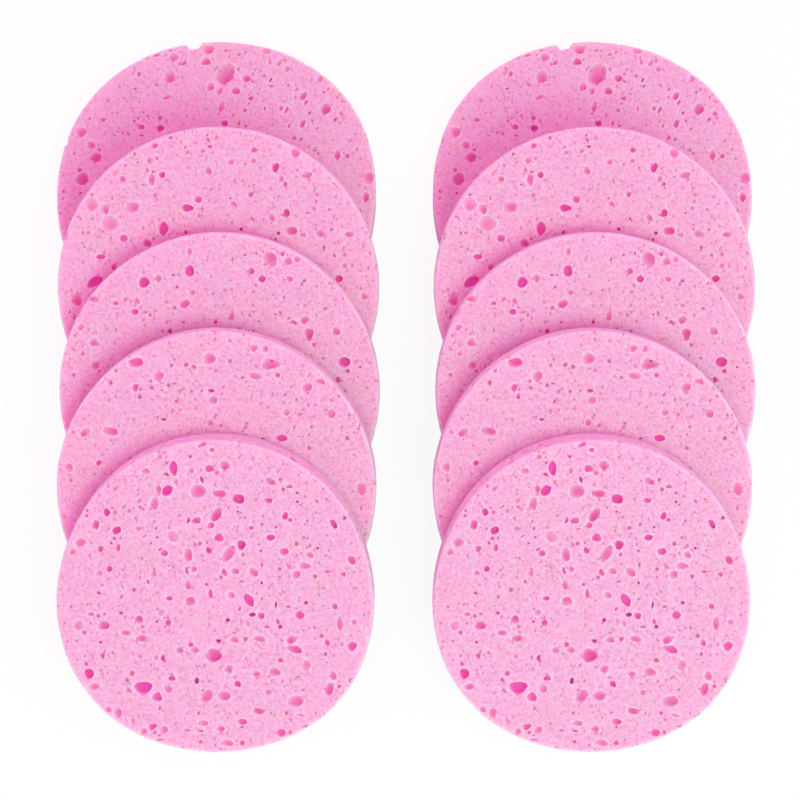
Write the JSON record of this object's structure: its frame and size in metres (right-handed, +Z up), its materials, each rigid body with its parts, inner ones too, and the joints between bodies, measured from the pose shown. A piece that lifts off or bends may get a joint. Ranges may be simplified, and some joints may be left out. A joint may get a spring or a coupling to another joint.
{
  "type": "cellulose facial sponge",
  "caption": "Thin round facial sponges of pink open-cell cellulose foam, laid out in leaning rows, each loose and free to be picked up.",
  "frame": {"origin": "on the table, under the middle of the bounding box of the two rows", "axes": "+Z up, +Y along the rows from the front sponges to the flat ones at the back, +X to the right"},
  "size_m": [0.1688, 0.1741, 0.0346],
  "materials": {
    "cellulose_foam": "matte pink open-cell cellulose foam"
  },
  "bodies": {
    "left_sponge_1": {"left_sponge_1": "cellulose_foam"},
    "left_sponge_2": {"left_sponge_2": "cellulose_foam"},
    "left_sponge_3": {"left_sponge_3": "cellulose_foam"},
    "left_sponge_4": {"left_sponge_4": "cellulose_foam"},
    "left_sponge_5": {"left_sponge_5": "cellulose_foam"},
    "right_sponge_1": {"right_sponge_1": "cellulose_foam"},
    "right_sponge_2": {"right_sponge_2": "cellulose_foam"},
    "right_sponge_3": {"right_sponge_3": "cellulose_foam"},
    "right_sponge_4": {"right_sponge_4": "cellulose_foam"},
    "right_sponge_5": {"right_sponge_5": "cellulose_foam"}
  },
  "joints": [
    {"name": "lift_left_2", "type": "slide", "parent": "left_sponge_1", "child": "left_sponge_2", "axis": [0, 0, 1], "range_m": [0, 0.05]},
    {"name": "lift_left_3", "type": "slide", "parent": "left_sponge_2", "child": "left_sponge_3", "axis": [0, 0, 1], "range_m": [0, 0.05]},
    {"name": "lift_left_4", "type": "slide", "parent": "left_sponge_3", "child": "left_sponge_4", "axis": [0, 0, 1], "range_m": [0, 0.05]},
    {"name": "lift_left_5", "type": "slide", "parent": "left_sponge_4", "child": "left_sponge_5", "axis": [0, 0, 1], "range_m": [0, 0.05]},
    {"name": "lift_right_1", "type": "slide", "parent": "left_sponge_1", "child": "right_sponge_1", "axis": [0, 0, 1], "range_m": [0, 0.05]},
    {"name": "lift_right_2", "type": "slide", "parent": "right_sponge_1", "child": "right_sponge_2", "axis": [0, 0, 1], "range_m": [0, 0.05]},
    {"name": "lift_right_3", "type": "slide", "parent": "right_sponge_2", "child": "right_sponge_3", "axis": [0, 0, 1], "range_m": [0, 0.05]},
    {"name": "lift_right_4", "type": "slide", "parent": "right_sponge_3", "child": "right_sponge_4", "axis": [0, 0, 1], "range_m": [0, 0.05]},
    {"name": "lift_right_5", "type": "slide", "parent": "right_sponge_4", "child": "right_sponge_5", "axis": [0, 0, 1], "range_m": [0, 0.05]}
  ]
}
